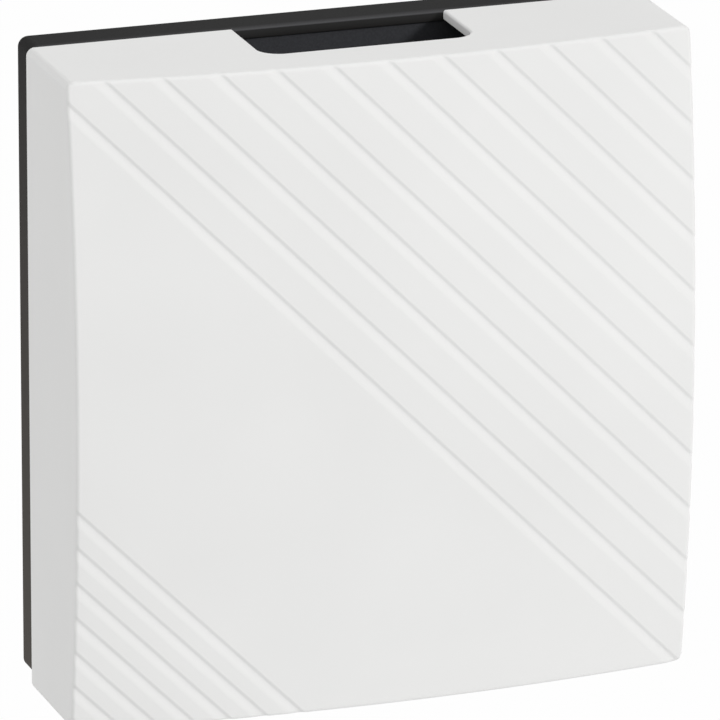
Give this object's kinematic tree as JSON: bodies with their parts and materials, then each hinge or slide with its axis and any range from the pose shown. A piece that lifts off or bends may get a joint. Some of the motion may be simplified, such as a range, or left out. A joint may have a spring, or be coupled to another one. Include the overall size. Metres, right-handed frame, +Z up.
{
  "type": "doorbell chime box",
  "caption": "Square wall-hung doorbell chime: dark base, white domed cover with diagonal grooves and a sound slot in its top, spring-return striker between steel tone plates.",
  "frame": {"origin": "middle of the base's rear face, on the wall", "axes": "+X to the right seen from the front, +Y into the wall, +Z up"},
  "size_m": [0.145, 0.0533, 0.1496],
  "materials": {
    "dark_abs": "fine moulded texture",
    "charcoal_abs": "coarse moulded grain",
    "white_abs": "satin moulded",
    "plated_steel": "zinc plated",
    "black_rubber": "matte",
    "screw_steel": "bright zinc",
    "frame_steel": "zinc plated strip",
    "nylon": "natural nylon",
    "copper_wire": "enamelled wire",
    "tape": "polyester tape",
    "brass": "drawn",
    "core_steel": "turned",
    "spring_steel": "drawn wire",
    "block_nylon": "moulded",
    "red_pvc": "insulated wire",
    "blue_pvc": "insulated wire"
  },
  "bodies": {
    "base": {"base": "dark_abs", "chassis_plate": "charcoal_abs", "wall_spacers": "nylon", "tone_plate_dong": "plated_steel", "tone_plate_ding": "plated_steel", "plate_grommets": "black_rubber", "plate_screws": "screw_steel", "solenoid_frame": "frame_steel", "frame_screws": "screw_steel", "coil_bobbin": "nylon", "coil_winding": "copper_wire", "coil_tape": "tape", "guide_tube": "brass", "terminal_block": "block_nylon", "terminal_clamps": "brass", "terminal_screws": "screw_steel", "block_screws": "screw_steel", "block_nuts": "screw_steel", "coil_lead_left": "red_pvc", "coil_lead_right": "blue_pvc", "cable_grommet": "black_rubber"},
    "cover": {"cover": "white_abs"},
    "striker": {"plunger_core": "core_steel", "plunger_collar": "nylon", "striker_tip_left": "nylon", "striker_tip_right": "nylon", "return_spring": "spring_steel"}
  },
  "joints": [
    {"name": "cover_pull", "type": "slide", "parent": "base", "child": "cover", "axis": [0, -1, 0], "range_m": [0, 0.06]},
    {"name": "plunger_slide", "type": "slide", "parent": "base", "child": "striker", "axis": [1, 0, 0], "range_m": [-0.0018, 0.0078], "stiffness_N_per_m": 60, "deforming": ["return_spring"]}
  ]
}
